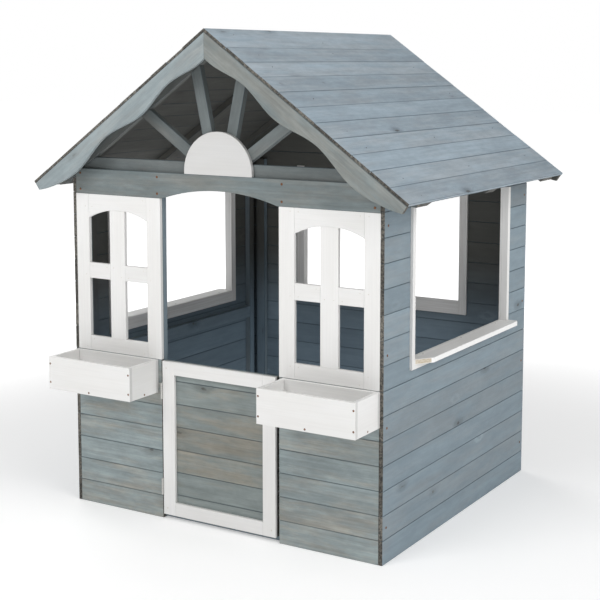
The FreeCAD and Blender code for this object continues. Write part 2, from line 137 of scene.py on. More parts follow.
# %% A board's own axes
RAY_LEANS = (12, 55)              # degrees from upright, inner and outer rays
leans = [pitch] + [math.radians(lean) for lean in RAY_LEANS]
turns = [0.0] + [sign * lean for lean in leans for sign in (1, -1)]
middle = (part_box("right_wall_planks")[0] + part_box("left_wall_planks")[1]) / 2


def axes_of(points):
    """(centre, half size, turn matrix) of a board: x along it, y across it, z out of the house."""
    best = None
    for turn in turns:
        basis = Matrix.Rotation(turn, 3, "Y")
        inside = [basis.transposed() @ p for p in points]
        low = Vector([min(p[i] for p in inside) for i in range(3)])
        high = Vector([max(p[i] for p in inside) for i in range(3)])
        size = high - low
        volume = size.x * size.y * size.z
        if best is None or volume < best[0] * 0.98:
            best = (volume, basis, (low + high) / 2, size)
    _, basis, centre, size = best
    order = sorted(range(3), key=lambda i: -size[i])
    along, across, thick = (basis.col[i].copy() for i in order)
    centre = basis @ centre
    if thick.dot(centre - middle) < 0:
        thick = -thick
    across = thick.cross(along)
    matrix = Matrix((along, across, thick)).transposed()
    return centre, Vector([size[i] / 2 for i in order]), matrix


sample = axes_of(solids("right_wall_planks")[0][0])
print("first right wall plank, half size in mm:", [round(v * 1000, 1) for v in sample[1]])

# %% [markdown]
# ## What every board finish needs
# The cladding is spruce under one thin coat of blue-grey stain, and the frames are the same wood
# under white paint.  A picture of wood would repeat from board to board, so both finishes are
# procedural.  They read three attributes that every board carries: `local`, the place on the board
# in metres, `half`, its half size, and `seed`, a number of its own that slides the pattern so that
# no two boards match.  Noise that is drawn out along x becomes grain.

# %% Coordinates of a board inside a shader
def attribute(tree, name, output="Vector"):
    """An attribute of the mesh."""
    return out(add(tree, "ShaderNodeAttribute", attribute_name=name), output)


def part_of(tree, vector, axis):
    """One number of a vector."""
    return out(add(tree, "ShaderNodeSeparateXYZ", {0: vector}), axis)


def place_on_board(tree):
    """The place on the board, moved by the board's own seed."""
    offset = vectors(tree, "SCALE", (37.1, 11.7, 5.3))
    tree.links.new(attribute(tree, "seed", "Fac"), socket(offset.inputs, "Scale"))
    return vectors(tree, "ADD", attribute(tree, "local"), offset)


def margins(tree):
    """Distance from the sawn ends, and from the arrises of the outer face."""
    inside = vectors(tree, "SUBTRACT", attribute(tree, "half"),
                     vectors(tree, "ABSOLUTE", attribute(tree, "local")))
    arris = maths(tree, "ADD", part_of(tree, inside, "Y"), part_of(tree, inside, "Z"))
    return part_of(tree, inside, "X"), arris


def behind(tree):
    """1 on the back face of a board, 0 elsewhere."""
    depth = maths(tree, "ADD", part_of(tree, attribute(tree, "local"), "Z"),
                  part_of(tree, attribute(tree, "half"), "Z"))
    return remap(tree, depth, 0.0016, 0.0008)


def own_numbers(tree):
    """Three random numbers of the board's own, from 0 to 1."""
    spread = maths(tree, "MULTIPLY", attribute(tree, "seed", "Fac"), 91.7)
    noise = add(tree, "ShaderNodeTexWhiteNoise", {"W": spread}, noise_dimensions="1D")
    return add(tree, "ShaderNodeSeparateColor", {"Color": out(noise, "Color")}).outputs


# %% Noise, steps and mixes
def grain(tree, place, stretch, detail=3.0, roughness=0.55):
    """Noise with so many cycles a metre along, across and through the board."""
    spread = vectors(tree, "MULTIPLY", place, stretch)
    noise = add(tree, "ShaderNodeTexNoise", {"Vector": spread, "Scale": 1.0, "Detail": detail,
                                             "Roughness": roughness}, noise_dimensions="3D")
    return out(noise, "Fac")


def remap(tree, value, low, high, to_low=0.0, to_high=1.0):
    """A smooth step from one range to another, held at its ends."""
    node = add(tree, "ShaderNodeMapRange", {"Value": value, "From Min": low, "From Max": high,
                                            "To Min": to_low, "To Max": to_high},
               interpolation_type="SMOOTHSTEP", clamp=True)
    return out(node, "Result")


def blend(tree, factor, a, b):
    """Two colours mixed."""
    node = add(tree, "ShaderNodeMix", {"Factor": factor, "A": a, "B": b}, data_type="RGBA",
               clamp_factor=True)
    return out(node, "Result")


def toned(tree, colour, *tones):
    """A colour made lighter or darker by numbers near 1."""
    for tone in tones:
        shade = add(tree, "ShaderNodeCombineColor", {"Red": tone, "Green": tone, "Blue": tone})
        node = add(tree, "ShaderNodeMix", {"Factor": 1.0, "A": colour, "B": shade}, data_type="RGBA",
                   blend_type="MULTIPLY")
        colour = out(node, "Result")
    return colour


def new_finish(name):
    """A material with its tree and its shader."""
    material = bpy.data.materials.new(name)
    material.use_nodes = True
    return material, material.node_tree, material.node_tree.nodes["Principled BSDF"]


print("shader helpers ready")

# %% [markdown]
# ### Knots
# A knot is a branch cut across: a small dark oval in a cloudy patch, round which the grain flows.
# Voronoi cells, drawn out along the grain, give one chance of a knot in each stretch of board.  The
# cell's own random colour says whether the chance is taken, how strong the knot is, and whether its
# patch took the stain dark or shed it, which leaves a pale ring.  Close to a knot the place itself is
# pushed sideways, so that every grain noise read from it bends round the knot.

# %% Knots
def knots(tree, place, dark_share):
    """(heart of a knot, its dark patch, its pale ring, the place bent round it)."""
    spread = vectors(tree, "MULTIPLY", place, (3.6, 8.0, 0.0))
    cells = add(tree, "ShaderNodeTexVoronoi", {"Vector": spread, "Scale": 1.0}, voronoi_dimensions="2D")
    numbers = add(tree, "ShaderNodeSeparateColor", {"Color": out(cells, "Color")}).outputs
    taken = maths(tree, "MULTIPLY", maths(tree, "GREATER_THAN", numbers["Red"], 0.55), numbers["Green"])
    dark = maths(tree, "MULTIPLY", taken, maths(tree, "LESS_THAN", numbers["Blue"], dark_share))
    pale = maths(tree, "SUBTRACT", taken, dark)
    wobble = grain(tree, place, (55, 100, 0), 3.0, 0.65)
    ragged = maths(tree, "ADD", out(cells, "Distance"), maths(tree, "MULTIPLY", wobble, 0.16))
    heart = maths(tree, "MULTIPLY", remap(tree, ragged, 0.128, 0.090), dark)
    patch = maths(tree, "MULTIPLY", remap(tree, ragged, 0.30, 0.11), dark)
    ring = maths(tree, "MULTIPLY", remap(tree, ragged, 0.235, 0.165), remap(tree, ragged, 0.10, 0.165))
    near = maths(tree, "MULTIPLY", remap(tree, out(cells, "Distance"), 0.26, 0.03), taken)
    push = add(tree, "ShaderNodeCombineXYZ", {"Y": maths(tree, "MULTIPLY", near, 0.014)})
    return heart, patch, maths(tree, "MULTIPLY", ring, pale), vectors(tree, "ADD", place, push)


# %% [markdown]
# ### The blue-grey stain
# Under one thin stain the wood still decides what you see: fine straight grain, broad clouds where the
# stain was wiped, warm patches where it is thin, and grey-brown end grain that drank it up.  The
# joints are painted shade: each face darkens to blue-black along its eased edges.  Inside, the back
# faces are painted shade too: blue-grey near the floor, turning dark grey-brown under the roof.

# %% Sawn ends and back faces
INNER_BLUE = (0.205, 0.275, 0.335, 1)
# The dark grey-brown inside under the roof is painted shade, not a finish of the wood.
ROOF_SHADE_GREY = (0.098, 0.099, 0.091, 1)


def end_grain(tree, place, own):
    """Colour of a sawn end: specks of grey-brown, and a depth of its own for each board."""
    specks = remap(tree, grain(tree, place, (30, 190, 190), 3.0, 0.7), 0.36, 0.64)
    colour = blend(tree, specks, (0.034, 0.034, 0.032, 1), (0.155, 0.144, 0.124, 1))
    depth = remap(tree, part_of(tree, place, "Z"), -0.003, 0.003, 0.50, 1.15)
    return toned(tree, colour, depth, remap(tree, own["Blue"], 0.0, 1.0, 0.55, 1.2))


def inner_face_shade(tree, low):
    """Colour of a back face: the given stain low down, turning to a dark grey-brown high up that is painted
    shade.
    """
    height = part_of(tree, out(add(tree, "ShaderNodeTexCoord"), "Object"), "Z")
    return blend(tree, remap(tree, height, 0.38, 0.76), low, ROOF_SHADE_GREY)


# %% Stained boards
KNOT_HEART = (0.085, 0.076, 0.066, 1)
# Painted shade in the V joints: the blue-black that each face darkens to along its eased edges.
JOINT_SHADOW = (0.040, 0.072, 0.094, 1)


def stained_wood(name, stain, warm, warmth=0.5, figure=1.0, dark_knots=0.9):
    """Thin stain: its usual colour, its warm thin patches, and how strongly the wood shows."""
    material, tree, shader = new_finish(name)
    ends, edges = margins(tree)
    own = own_numbers(tree)
    heart, dark, ring, place = knots(tree, place_on_board(tree), dark_knots)
    clouds = grain(tree, place, (7.0, 26, 26), 3.0)
    brush = grain(tree, place, (28, 80, 80), 3.0, 0.65)
    streaks = grain(tree, place, (6.0, 230, 230), 4.0, 0.62)
    rings = grain(tree, place, (1.6, 70, 70), 2.0)
    patches = grain(tree, place, (4.2, 25, 25), 4.0, 0.66)

    thin = maths(tree, "ADD", patches, maths(tree, "MULTIPLY", own["Green"], 0.26))
    colour = blend(tree, remap(tree, thin, 0.53, 0.86, 0.0, warmth), stain, warm)
    colour = blend(tree, behind(tree), colour, inner_face_shade(tree, INNER_BLUE))
    colour = blend(tree, maths(tree, "MULTIPLY", heart, 0.75), colour, KNOT_HEART)
    colour = toned(tree, colour, remap(tree, own["Red"], 0.0, 1.0, 0.91, 1.07),
                   remap(tree, clouds, 0.30, 0.70, 1 - 0.08 * figure, 1 + 0.09 * figure),
                   remap(tree, brush, 0.30, 0.70, 1 - 0.05 * figure, 1 + 0.045 * figure),
                   remap(tree, streaks, 0.25, 0.75, 1 - 0.08 * figure, 1 + 0.06 * figure),
                   remap(tree, rings, 0.30, 0.70, 1 - 0.05 * figure, 1 + 0.04 * figure),
                   remap(tree, dark, 0.0, 1.0, 1.0, 0.74), remap(tree, ring, 0.0, 1.0, 1.0, 1.20))
    # Painted shade: each face darkens along its eased edges, toward the joint between planks.
    joint_shade = remap(tree, edges, 0.0002, 0.0018, remap(tree, own["Green"], 0.0, 1.0, 0.98, 0.72), 0.0)
    colour = blend(tree, joint_shade, colour, JOINT_SHADOW)
    colour = blend(tree, remap(tree, ends, 0.0012, 0.0004), colour, end_grain(tree, place, own))
    tree.links.new(colour, shader.inputs["Base Color"])
    tree.links.new(remap(tree, streaks, 0.2, 0.8, 0.62, 0.80), shader.inputs["Roughness"])

    relief = maths(tree, "ADD", streaks, maths(tree, "MULTIPLY", rings, 1.4))
    bump = add(tree, "ShaderNodeBump", {"Height": relief, "Strength": 0.45, "Distance": 0.0004})
    tree.links.new(out(bump), shader.inputs["Normal"])
    shader.inputs["Specular IOR Level"].default_value = 0.30
    return material


front_stain = stained_wood("front_stain", (0.262, 0.310, 0.317, 1), (0.338, 0.314, 0.268, 1),
                           warmth=0.65, figure=1.35)
door_stain = stained_wood("door_stain", (0.216, 0.249, 0.245, 1), (0.288, 0.266, 0.218, 1),
                          warmth=0.8, figure=1.15)
# A darker copy of the front stain for the header: painted shade from the roof overhang.
gable_shade_stain = stained_wood("gable_shade_stain", (0.178, 0.213, 0.219, 1), (0.255, 0.243, 0.214, 1),
                           figure=1.2)
side_stain = stained_wood("side_stain", (0.224, 0.284, 0.325, 1), (0.312, 0.305, 0.292, 1),
                          warmth=0.25, figure=0.6, dark_knots=0.3)
roof_stain = stained_wood("roof_stain", (0.298, 0.366, 0.420, 1), (0.368, 0.386, 0.400, 1),
                          warmth=0.4, figure=0.95, dark_knots=1.0)
barge_stain = stained_wood("barge_stain", (0.292, 0.342, 0.358, 1), (0.350, 0.345, 0.325, 1))
shaded_stain = stained_wood("shaded_stain", (0.142, 0.163, 0.165, 1), (0.185, 0.176, 0.160, 1))
# Stain darkened to the grey-brown of the shade under the roof, for back rafters and battens: painted shade.
under_roof_shade_stain = stained_wood("under_roof_shade_stain", (0.098, 0.099, 0.091, 1), (0.130, 0.120, 0.102, 1))
for finish in (front_stain, door_stain, gable_shade_stain, side_stain, roof_stain, barge_stain,
               shaded_stain, under_roof_shade_stain):
    print(finish.name, len(finish.node_tree.nodes), "nodes")

# %% [markdown]
# ### White paint and bare wood
# The frames, planters and shelves wear two coats of white.  Paint hides the colour of the wood but
# not its grain, it is thin on sharp edges, and joints between boards show as fine grey lines.  The
# casings inside the openings are white where they are seen from outside; the back face of the board
# takes a pale grey finish as light as the paint or lighter, partly its own poorer finish and partly
# painted light for those dim inner faces.  A darker white on the half round is painted shade, and a
# lighter white on the counters is painted light.  A corner of each counter was sawn off after painting
# and shows clean bare wood.

# %% Painted boards
def painted_wood(name, painted_light_back=False, light_and_shade=1.0):
    """White paint over softwood, dimmer where the paint is thin; a factor near 1 lightens or darkens it as
    painted light or shade.  The back face may take a pale finish that is partly painted light.
    """
    material, tree, shader = new_finish(name)
    place = place_on_board(tree)
    ends, edges = margins(tree)
    own = own_numbers(tree)
    streaks = grain(tree, place, (5.0, 190, 190), 4.0, 0.6)
    clouds = grain(tree, place, (4.0, 15, 15), 2.0)
    colour = blend(tree, remap(tree, clouds, 0.3, 0.7), (0.800, 0.797, 0.788, 1),
                   (0.775, 0.768, 0.752, 1))
    corner = remap(tree, maths(tree, "MINIMUM", ends, edges), 0.0, 0.0009, 0.80, 1.0)
    colour = toned(tree, colour, remap(tree, own["Red"], 0.0, 1.0, 0.97 * light_and_shade, 1.01 * light_and_shade), corner,
                   remap(tree, streaks, 0.3, 0.7, 0.975, 1.01))
    # The back face's pale finish is partly its own greyer finish and partly painted light for the dim inner
    # faces.
    if painted_light_back:
        back_face_light = blend(tree, remap(tree, streaks, 0.3, 0.7), (0.76, 0.74, 0.72, 1),
                     (0.88, 0.87, 0.86, 1))
        colour = blend(tree, behind(tree), colour, back_face_light)
    tree.links.new(colour, shader.inputs["Base Color"])
    tree.links.new(remap(tree, clouds, 0.2, 0.8, 0.45, 0.55), shader.inputs["Roughness"])
    bump = add(tree, "ShaderNodeBump", {"Height": streaks, "Strength": 0.25, "Distance": 0.0003})
    tree.links.new(out(bump), shader.inputs["Normal"])
    return material


def bare_wood(name):
    """Clean sawn softwood."""
    material, tree, shader = new_finish(name)
    streaks = grain(tree, place_on_board(tree), (40, 260, 260), 3.0)
    colour = blend(tree, remap(tree, streaks, 0.3, 0.7), (0.66, 0.60, 0.50, 1), (0.52, 0.44, 0.33, 1))
    tree.links.new(colour, shader.inputs["Base Color"])
    shader.inputs["Roughness"].default_value = 0.8
    return material


white_paint = painted_wood("white_paint")
casing_paint = painted_wood("casing_paint", painted_light_back=True)
# A darker white for the half round: painted shade from the roof overhang.
half_round_shade_paint = painted_wood("half_round_shade_paint", light_and_shade=0.79)
# A lighter white for the counters: painted light on their tops.
counter_light_paint = painted_wood("counter_light_paint", light_and_shade=1.12)
sawn_wood = bare_wood("sawn_wood")
print("paints:", white_paint.name, casing_paint.name, half_round_shade_paint.name, counter_light_paint.name)

# %% [markdown]
# ## Square boards with Geometry Nodes
# Most of the house is square boards that differ only in size, place and turn, so one blank does for
# all: a small cube with rounded edges.  The tree puts a blank on each point, then moves its corners
# outwards by half the board's size less half the blank's, like a picture frame cut at its corners
# and pulled apart.  Scaling the blank instead would have stretched its rounded edges.  The tree also
# gives each board its random seed, lets it stand a hair proud or shy, and may cut it a little short
# and slide it along, because boards nailed up by hand never end in one clean line.

# %% The blank and the tree
BLANK_HALF = 0.003


def blank(name, ease):
    """A small cube with eased edges that remembers where its corners were."""
    shape = bmesh.new()
    bmesh.ops.create_cube(shape, size=2 * BLANK_HALF)
    bmesh.ops.bevel(shape, geom=shape.edges[:], offset=ease, segments=2, profile=0.5, affect="EDGES")
    corner = shape.verts.layers.float_vector.new("corner")
    for vertex in shape.verts:
        vertex[corner] = vertex.co
    mesh = bpy.data.meshes.new(name)
    shape.to_mesh(mesh)
    shape.free()
    piece = bpy.data.objects.new(name, mesh)
    scene.collection.objects.link(piece)
    return piece


def board_tree():
    """Points with a half size and a turn become boards."""
    tree = bpy.data.node_groups.new("boards_from_points", "GeometryNodeTree")
    for name, kind in (("Geometry", "Geometry"), ("Blank", "Object"), ("Blank Half", "Float"),
                       ("Loose", "Float"), ("Uneven", "Float"), ("Seed", "Int"), ("Finish", "Material")):
        tree.interface.new_socket(name=name, in_out="INPUT", socket_type="NodeSocket" + kind)
    tree.interface.new_socket(name="Geometry", in_out="OUTPUT", socket_type="NodeSocketGeometry")
    given = tree.nodes.new("NodeGroupInput")

    def named(name, kind):
        """A named attribute of the geometry."""
        return out(add(tree, "GeometryNodeInputNamedAttribute", {"Name": name}, data_type=kind), "Attribute")

    def store(geometry, name, value, kind):
        """The geometry with one more named attribute."""
        return add(tree, "GeometryNodeStoreNamedAttribute",
                   {"Geometry": geometry, "Name": name, "Value": value}, data_type=kind, domain="POINT")

    chance = add(tree, "FunctionNodeRandomValue", {"Min": 0.0, "Max": 1.0, "Seed": out(given, "Seed")},
                 data_type="FLOAT")
    seeded = store(out(given, "Geometry"), "seed", out(chance, "Value"), "FLOAT")
    spare = maths(tree, "MULTIPLY", out(given, "Uneven"), 0.5)
    shorter = vectors(tree, "SUBTRACT", named("half", "FLOAT_VECTOR"),
                      add(tree, "ShaderNodeCombineXYZ", {"X": spare}))
    cut_short = store(seeded, "half", shorter, "FLOAT_VECTOR")
    shape = add(tree, "GeometryNodeObjectInfo", {"Object": out(given, "Blank")})
    placed = add(tree, "GeometryNodeInstanceOnPoints",
                 {"Points": cut_short, "Instance": out(shape, "Geometry")})
    real = add(tree, "GeometryNodeRealizeInstances", {"Geometry": placed})

    corner = named("corner", "FLOAT_VECTOR")
    half = named("half", "FLOAT_VECTOR")
    inner = add(tree, "ShaderNodeCombineXYZ", {axis: out(given, "Blank Half") for axis in "XYZ"})
    push = vectors(tree, "MULTIPLY", vectors(tree, "SIGN", corner), vectors(tree, "SUBTRACT", half, inner))
    local = vectors(tree, "ADD", corner, push)
    stored = store(real, "local", local, "FLOAT_VECTOR")
    seed = named("seed", "FLOAT")
    proud = maths(tree, "MULTIPLY", maths(tree, "SUBTRACT", seed, 0.5), out(given, "Loose"))
    slide = maths(tree, "SUBTRACT", maths(tree, "FRACT", maths(tree, "MULTIPLY", seed, 7.0)), 0.5)
    lift = add(tree, "ShaderNodeCombineXYZ",
               {"X": maths(tree, "MULTIPLY", slide, out(given, "Uneven")), "Z": proud})
    turned = add(tree, "ShaderNodeVectorRotate",
                 {"Vector": vectors(tree, "ADD", named("local", "FLOAT_VECTOR"), lift),
                  "Rotation": named("turn", "FLOAT_VECTOR")}, rotation_type="EULER_XYZ")
    point = vectors(tree, "SUBTRACT", add(tree, "GeometryNodeInputPosition"), corner)
    moved = add(tree, "GeometryNodeSetPosition",
                {"Geometry": stored, "Position": vectors(tree, "ADD", point, turned)})
    finished = add(tree, "GeometryNodeSetMaterial", {"Geometry": moved, "Material": out(given, "Finish")})
    add(tree, "NodeGroupOutput", {"Geometry": finished})
    return tree


board_blank = blank("board_blank", 0.0009)
plank_blank = blank("plank_blank", 0.0012)
boards_from_points = board_tree()
print("board tree has", len(boards_from_points.nodes), "nodes")

# %% Run a tree and keep a plain mesh
def grown(name, points, attributes, tree, settings):
    """A plain mesh object from points, their attributes and a node tree."""
    mesh = bpy.data.meshes.new(name + "_points")
    mesh.from_pydata([tuple(p) for p in points], [], [])
    for key, values in attributes.items():
        data = mesh.attributes.new(key, "FLOAT_VECTOR", "POINT").data
        data.foreach_set("vector", [c for value in values for c in value])
    holder = bpy.data.objects.new(name + "_points", mesh)
    scene.collection.objects.link(holder)
    modifier = holder.modifiers.new("grow", "NODES")
    modifier.node_group = tree
    for item in tree.interface.items_tree:
        if item.in_out == "INPUT" and item.name in settings:
            modifier[item.identifier] = settings[item.name]
    evaluated = holder.evaluated_get(bpy.context.evaluated_depsgraph_get())
    result = bpy.data.meshes.new_from_object(evaluated)
    result.name = name
    bpy.data.objects.remove(holder)
    bpy.data.meshes.remove(mesh)
    piece = bpy.data.objects.new(name, result)
    scene.collection.objects.link(piece)
    return piece


def settle(piece, body, slot, *nodes):
    """Fastens a finished piece to its body and hides the design nodes it stands for."""
    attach(piece, body)
    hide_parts(*nodes)
    print(f"{piece.name}: {len(piece.data.polygons)} faces on {body}")


def square_boards(name, nodes, finish, slot, body="house", shape=board_blank, loose=0.0003, seed=1,
                  uneven=0.0, keep=lambda solid: True):
    """Every square board of some design nodes, as one piece."""
    places = [axes_of(points) for node in nodes for points, _ in filter(keep, solids(node))]
    piece = grown(name, [centre for centre, _, _ in places],
                  {"half": [half for _, half, _ in places],
                   "turn": [turn.to_euler() for _, _, turn in places]},
                  boards_from_points, {"Blank": shape, "Blank Half": BLANK_HALF, "Loose": loose,
                                       "Uneven": uneven, "Seed": seed, "Finish": finish})
    settle(piece, body, slot, *nodes)
    return piece


# %% [markdown]
# ## Walls, framing and frames
# With the tree in hand a wall is one line.  Cladding takes the blank with the wider ease, because two
# eased edges side by side make the V joint that the eye reads as a plank line.

# %% Clad the walls and hang the frames
BLUE = "blue_grey_wood"
WHITE = "white_wood"
RAW = "raw_wood"
square_boards("right_wall_cladding", ["right_wall_planks"], side_stain, BLUE, shape=plank_blank, seed=11)
square_boards("left_wall_cladding", ["left_wall_planks"], side_stain, BLUE, shape=plank_blank, seed=12)
square_boards("back_wall_cladding", ["back_wall_planks"], side_stain, BLUE, shape=plank_blank, seed=13)
square_boards("front_right_cladding", ["front_right_planks"], front_stain, BLUE, shape=plank_blank, seed=14)
square_boards("front_left_cladding", ["front_left_planks"], front_stain, BLUE, shape=plank_blank, seed=15)
square_boards("front_framing", ["front_posts", "front_rails", "threshold_rail"], side_stain, BLUE, seed=16)
square_boards("right_wall_framing", ["right_wall_frame"], side_stain, BLUE, seed=17)
square_boards("left_wall_framing", ["left_wall_frame"], side_stain, BLUE, seed=18)
square_boards("back_wall_framing", ["back_wall_frame"], side_stain, BLUE, seed=19)
for side in ("right", "left"):
    square_boards(side + "_window_uprights", [side + "_window_stiles"], white_paint, WHITE, seed=21)
    square_boards(side + "_hatch_frame", [side + "_hatch_jambs", side + "_hatch_sill"], white_paint,
                  WHITE, seed=22)
    square_boards(side + "_hatch_lining", [side + "_hatch_casing"], casing_paint, RAW, seed=23)
    square_boards(side + "_planter", [side + "_planter_long_boards", side + "_planter_ends",
                                      side + "_planter_floor"], white_paint, WHITE, seed=24)
square_boards("back_window_frame", ["back_window_jambs"], white_paint, WHITE, seed=25)
square_boards("back_window_lining", ["back_window_casing"], casing_paint, RAW, seed=26)
square_boards("door_cladding", ["door_planks"], door_stain, BLUE, "door", plank_blank, seed=31)
square_boards("door_frame", ["door_stiles", "door_rails"], white_paint, WHITE, "door", seed=32)

# %% [markdown]
# ## Shaped boards
# Arched, notched, mitred and scalloped boards follow no blank.  For those the design's own outline is
# kept: its triangles are joined into whole faces, every sharp edge is eased as a sander would ease
# it, and the same three attributes are written, so the same materials work.

# %% Ease a shaped board
SEED_STEP = 0.618                 # the golden share, so that neighbours never look alike
FLAT = math.radians(1)            # triangles that lie closer than this are one face
SHARP = math.radians(30)          # and an edge that turns more than this is eased


def shaped_boards(name, nodes, finishes, slot, body="house", ease=0.0012, seed=0.37, keep=lambda solid: True,
                  replaced=True):
    """Every board of some design nodes with its own outline and eased edges.

    The boards take the finishes in turn.
    """
    whole = bmesh.new()
    local = whole.verts.layers.float_vector.new("local")
    half_size = whole.verts.layers.float_vector.new("half")
    number = whole.verts.layers.float.new("seed")
    for index, (points, faces) in enumerate(s for node in nodes for s in filter(keep, solids(node))):
        centre, half, turn = axes_of(points)
        part = bmesh.new()
        corners = [part.verts.new(p) for p in points]
        for face in faces:
            part.faces.new([corners[i] for i in face])
        bmesh.ops.dissolve_limit(part, angle_limit=FLAT, verts=part.verts[:], edges=part.edges[:])
        sharp = [e for e in part.edges if e.calc_face_angle(0) > SHARP]
        bmesh.ops.bevel(part, geom=sharp, offset=ease, segments=2, profile=0.5, affect="EDGES")
        copied = {v: whole.verts.new(v.co) for v in part.verts}
        for vertex in copied.values():
            vertex[local] = turn.transposed() @ (vertex.co - centre)
            vertex[half_size] = half
            vertex[number] = (seed + index * SEED_STEP) % 1.0
        for face in part.faces:
            whole.faces.new([copied[v] for v in face.verts]).material_index = index % len(finishes)
        part.free()
    mesh = bpy.data.meshes.new(name)
    whole.to_mesh(mesh)
    whole.free()
    for finish in finishes:
        mesh.materials.append(finish)
    piece = bpy.data.objects.new(name, mesh)
    scene.collection.objects.link(piece)
    if replaced:
        settle(piece, body, slot, *nodes)
    return piece


shaped_boards("front_header", ["header_board"], [gable_shade_stain], BLUE, seed=0.11)
shaped_boards("front_gable_frame", ["gable_chord", "front_rafters"], [shaded_stain], BLUE, seed=0.23)
shaped_boards("back_gable_rafters", ["back_rafters"], [under_roof_shade_stain], BLUE, seed=0.29)
shaped_boards("sunburst_rays", ["gable_rays"], [shaded_stain], BLUE, seed=0.31)
shaped_boards("sunburst_half_round", ["half_round_panel"], [half_round_shade_paint], WHITE, seed=0.43)
shaped_boards("back_gable_cladding", ["back_gable_planks"], [side_stain], BLUE, ease=0.001, seed=0.47)
shaped_boards("right_notched_plank", ["right_sill_plank"], [side_stain], BLUE, ease=0.001, seed=0.53)
shaped_boards("left_notched_plank", ["left_sill_plank"], [side_stain], BLUE, ease=0.001, seed=0.59)
# The front barge boards take the darker gable stain and the lighter barge stain in turn: the darker one is
# painted shade.
shaped_boards("front_barges", ["front_barge_boards"], [gable_shade_stain, barge_stain], BLUE, seed=0.61)
shaped_boards("back_barges", ["back_barge_boards"], [barge_stain], BLUE, seed=0.67)
for side in ("right", "left"):
    shaped_boards(side + "_window_sash", [side + "_window_head", side + "_window_bars"], [white_paint],
                  WHITE, seed=0.71)
    shaped_boards(side + "_counter", [side + "_counter_shelf"], [counter_light_paint], WHITE, seed=0.73)
shaped_boards("roof_batten_set", ["roof_battens"], [under_roof_shade_stain], BLUE, seed=0.79)

# %% Bare wood where the counters were sawn
for side in ("right", "left"):
    counter = bpy.data.objects[side + "_counter"].data
    counter.materials.append(sawn_wood)
    sawn = [f for f in counter.polygons if abs(f.normal.x) > 0.2 and abs(f.normal.y) > 0.2
            and abs(f.normal.z) < 0.1 and f.area > 1e-4]
    for face in sawn:
        face.material_index = 1
    print(counter.name, len(sawn), "sawn faces")

# %% [markdown]
# ## The roof
# Ten courses on each slope are square boards and come from the tree.  The plank at the ridge is
# mitred where the slopes meet, so it is a shaped board.

# %% Lay the roof
ridge_z = max(p.z for p in ridge_plank[0])


def at_ridge(solid):
    """True for the mitred plank of a slope."""
    return max(p.z for p in solid[0]) > ridge_z - 0.001


for side, number in (("right", 41), ("left", 42)):
    node = side + "_roof_planks"
    square_boards(side + "_roof_courses", [node], roof_stain, BLUE, shape=plank_blank, loose=0.0008,
                  seed=number, uneven=0.003, keep=lambda solid: not at_ridge(solid))
    cap = shaped_boards(side + "_ridge_plank", [node], [roof_stain], BLUE, ease=0.0008, seed=number / 100,
                        keep=at_ridge, replaced=False)
    settle(cap, "house", BLUE, node)

# %% [markdown]
# ## Metal and plastic
# Screws are yellow zinc that has dulled to rust brown, with a cross recess.  They repeat, so one head
# is modelled and the tree places it on every screw of the design, turned to face outwards.  Those of
# the half door went in before the frame was painted, so they wear the colour of painted filler.

# %% Hard finishes
def hard_finish(name, colour, dark, roughness, metallic):
    """Metal or moulded plastic, clouded with a darker film."""
    material, tree, shader = new_finish(name)
    place = out(add(tree, "ShaderNodeTexCoord"), "Object")
    film = grain(tree, place, (420, 420, 420), 3.0)
    tree.links.new(blend(tree, remap(tree, film, 0.35, 0.65), colour, dark), shader.inputs["Base Color"])
    tree.links.new(remap(tree, film, 0.3, 0.7, roughness, roughness + 0.2), shader.inputs["Roughness"])
    shader.inputs["Metallic"].default_value = metallic
    return material


screw_finish = hard_finish("dulled_yellow_zinc", (0.27, 0.115, 0.050, 1), (0.10, 0.045, 0.022, 1), 0.5, 0.6)
nail_finish = hard_finish("rusty_nail", (0.10, 0.075, 0.055, 1), (0.045, 0.035, 0.030, 1), 0.6, 0.4)
filler = hard_finish("painted_filler", (0.60, 0.57, 0.50, 1), (0.70, 0.68, 0.63, 1), 0.55, 0.0)
hinge_finish = hard_finish("zinc_plate", (0.66, 0.65, 0.62, 1), (0.45, 0.45, 0.44, 1), 0.4, 0.7)
catch_finish = hard_finish("black_moulding", (0.018, 0.018, 0.018, 1), (0.03, 0.03, 0.03, 1), 0.4, 0.0)
print("hard finishes:", ", ".join(finish.name for finish in (
    screw_finish, nail_finish, filler, hinge_finish, catch_finish)))


# %% Screw heads
def screw_head():
    """A domed head with a cross recess, its rim at the origin, facing +Z."""
    shape = bmesh.new()
    sides = 16
    radii = ((1.0, -0.20), (1.0, 0.02), (0.86, 0.14), (0.62, 0.20))
    loops = [[shape.verts.new((r * math.cos(i * math.tau / sides), r * math.sin(i * math.tau / sides), z))
              for i in range(sides)] for r, z in radii]
    pit = []
    for i in range(sides):
        deep = i % 4 == 0
        r = 0.50 if deep else 0.16
        angle = i * math.tau / sides
        pit.append(shape.verts.new((r * math.cos(angle), r * math.sin(angle), 0.19 if deep else 0.17)))
    loops.append(pit)
    for outer, inner in zip(loops, loops[1:]):
        for i in range(sides):
            j = (i + 1) % sides
            shape.faces.new((outer[i], outer[j], inner[j], inner[i]))
    centre = shape.verts.new((0, 0, -0.12))
    for i in range(sides):
        shape.faces.new((pit[i], pit[(i + 1) % sides], centre))
    shape.faces.new(list(reversed(loops[0])))
    bmesh.ops.recalc_face_normals(shape, faces=shape.faces[:])
    mesh = bpy.data.meshes.new("screw_head")
    shape.to_mesh(mesh)
    shape.free()
    piece = bpy.data.objects.new("screw_head", mesh)
    scene.collection.objects.link(piece)
    return piece


